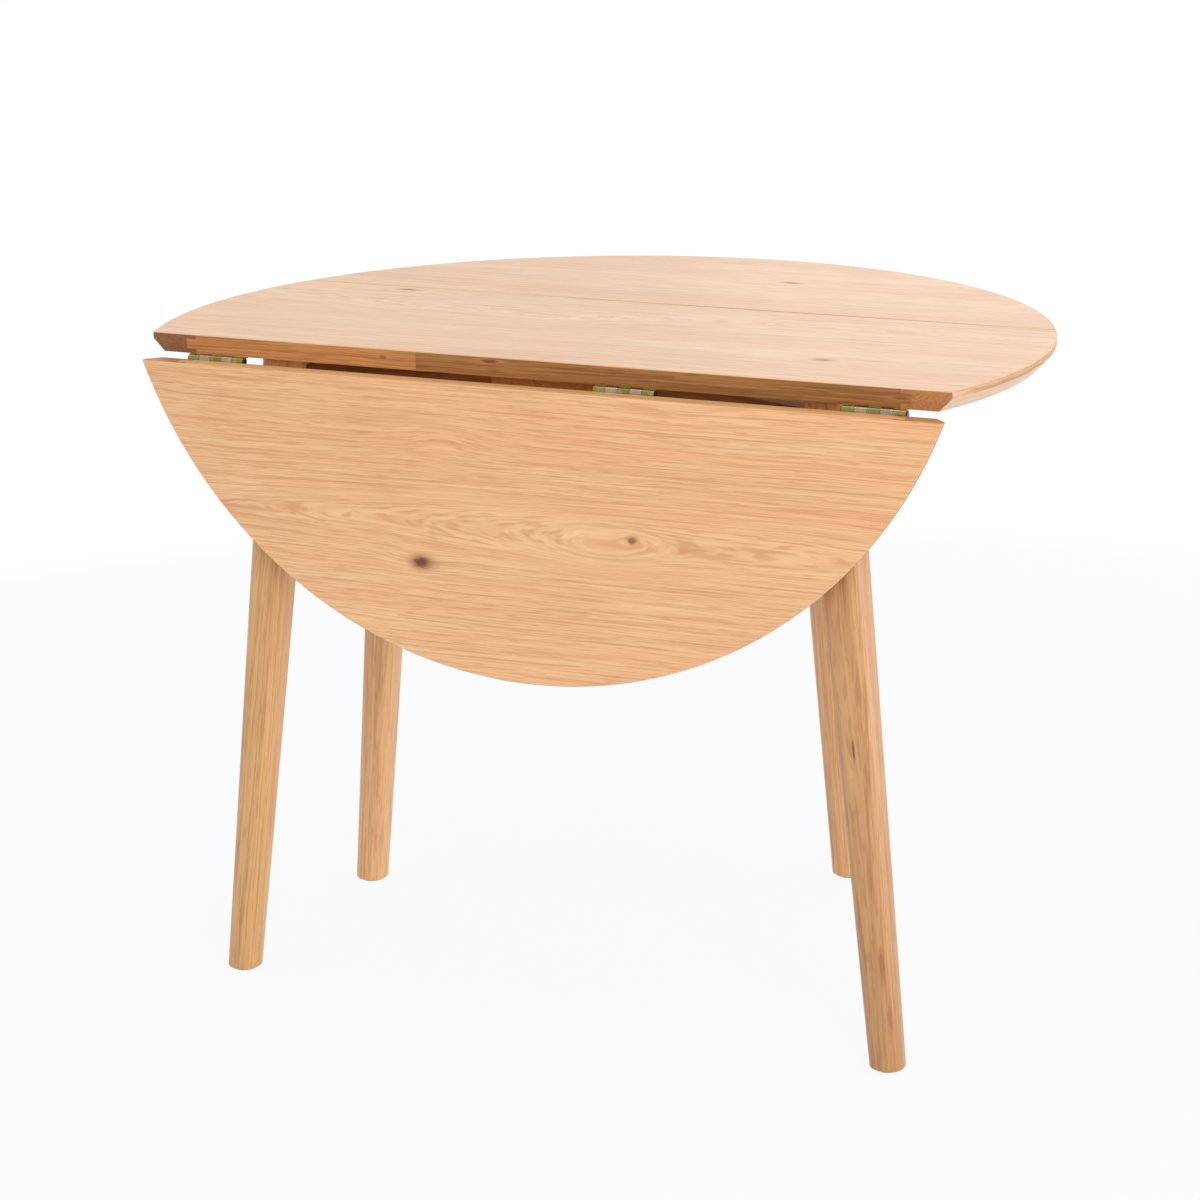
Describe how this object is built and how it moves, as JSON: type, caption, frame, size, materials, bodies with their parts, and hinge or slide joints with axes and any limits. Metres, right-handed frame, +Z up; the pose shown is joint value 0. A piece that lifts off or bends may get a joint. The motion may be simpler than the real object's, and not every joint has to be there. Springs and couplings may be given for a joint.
{
  "type": "drop-leaf dining table",
  "caption": "Round oak table with a fixed centre panel, hinged half-moon leaves and splayed legs, where swing legs turn out under the leaves to hold them level.",
  "frame": {"origin": "point on the floor under the centre of the round top", "axes": "+X along the hinge lines, +Y towards the raised leaf, +Z up"},
  "size_m": [1, 0.7018, 0.75],
  "materials": {
    "oak_face": "satin lacquered oak veneer",
    "oak_edging": "satin lacquered solid oak",
    "oak_leg": "satin lacquered solid oak",
    "oak_rail": "sanded solid oak",
    "hinge_zinc": "yellow passivated zinc on steel",
    "screw_zinc": "zinc plated steel",
    "plain_steel": "bright zinc plated steel",
    "bush_brass": "turned brass",
    "felt": "pressed dark felt"
  },
  "bodies": {
    "frame": {"back_edge_left": "oak_edging", "back_edge_right": "oak_edging", "back_hinge_pins": "hinge_zinc", "back_left_glide": "felt", "back_left_hinge_panel_plate": "hinge_zinc", "back_left_leg": "oak_leg", "back_middle_hinge_panel_plate": "hinge_zinc", "back_pivot_pin": "plain_steel", "back_right_hinge_panel_plate": "hinge_zinc", "centre_panel": "oak_face", "fixed_rail": "oak_rail", "front_edge_left": "oak_edging", "front_edge_right": "oak_edging", "front_hinge_pins": "hinge_zinc", "front_left_hinge_panel_plate": "hinge_zinc", "front_middle_hinge_panel_plate": "hinge_zinc", "front_pivot_pin": "plain_steel", "front_right_glide": "felt", "front_right_hinge_panel_plate": "hinge_zinc", "front_right_leg": "oak_leg", "hub_bolts": "plain_steel", "hub_bottom_plate": "oak_rail", "hub_screws": "screw_zinc", "hub_top_plate": "oak_rail", "left_rim": "oak_edging", "leg_dowels": "oak_rail", "panel_hinge_screws": "screw_zinc", "pivot_washers": "plain_steel", "right_rim": "oak_edging"},
    "front_leaf": {"front_leaf_edge": "oak_edging", "front_leaf_hinge_screws": "screw_zinc", "front_leaf_panel": "oak_face", "front_leaf_rim": "oak_edging", "front_leaf_stop": "oak_rail", "front_leaf_stop_screws": "screw_zinc", "front_left_hinge_leaf_plate": "hinge_zinc", "front_middle_hinge_leaf_plate": "hinge_zinc", "front_right_hinge_leaf_plate": "hinge_zinc"},
    "back_leaf": {"back_leaf_edge": "oak_edging", "back_leaf_hinge_screws": "screw_zinc", "back_leaf_panel": "oak_face", "back_leaf_rim": "oak_edging", "back_leaf_stop": "oak_rail", "back_leaf_stop_screws": "screw_zinc", "back_left_hinge_leaf_plate": "hinge_zinc", "back_middle_hinge_leaf_plate": "hinge_zinc", "back_right_hinge_leaf_plate": "hinge_zinc"},
    "front_swing_leg": {"front_left_glide": "felt", "front_left_leg": "oak_leg", "front_leg_pad": "felt", "front_pivot_bush": "bush_brass", "front_swing_arm": "oak_rail"},
    "back_swing_leg": {"back_leg_pad": "felt", "back_pivot_bush": "bush_brass", "back_right_glide": "felt", "back_right_leg": "oak_leg", "back_swing_arm": "oak_rail"}
  },
  "joints": [
    {"name": "front_leaf_fold", "type": "hinge", "parent": "frame", "child": "front_leaf", "pos_m": [0, -0.17575, 0.7238], "axis": [-1, 0, 0], "range_deg": [0, 90]},
    {"name": "back_leaf_fold", "type": "hinge", "parent": "frame", "child": "back_leaf", "pos_m": [0, 0.17575, 0.7238], "axis": [1, 0, 0], "range_deg": [0, 2.5]},
    {"name": "back_leg_swing", "type": "hinge", "parent": "frame", "child": "back_swing_leg", "pos_m": [0.044, 0.03, 0.729], "axis": [0, 0, -1], "range_deg": [0, 54.5]},
    {"name": "front_leg_swing", "type": "hinge", "parent": "frame", "child": "front_swing_leg", "pos_m": [-0.044, -0.03, 0.729], "axis": [0, 0, 1], "range_deg": [-2, 2]}
  ]
}
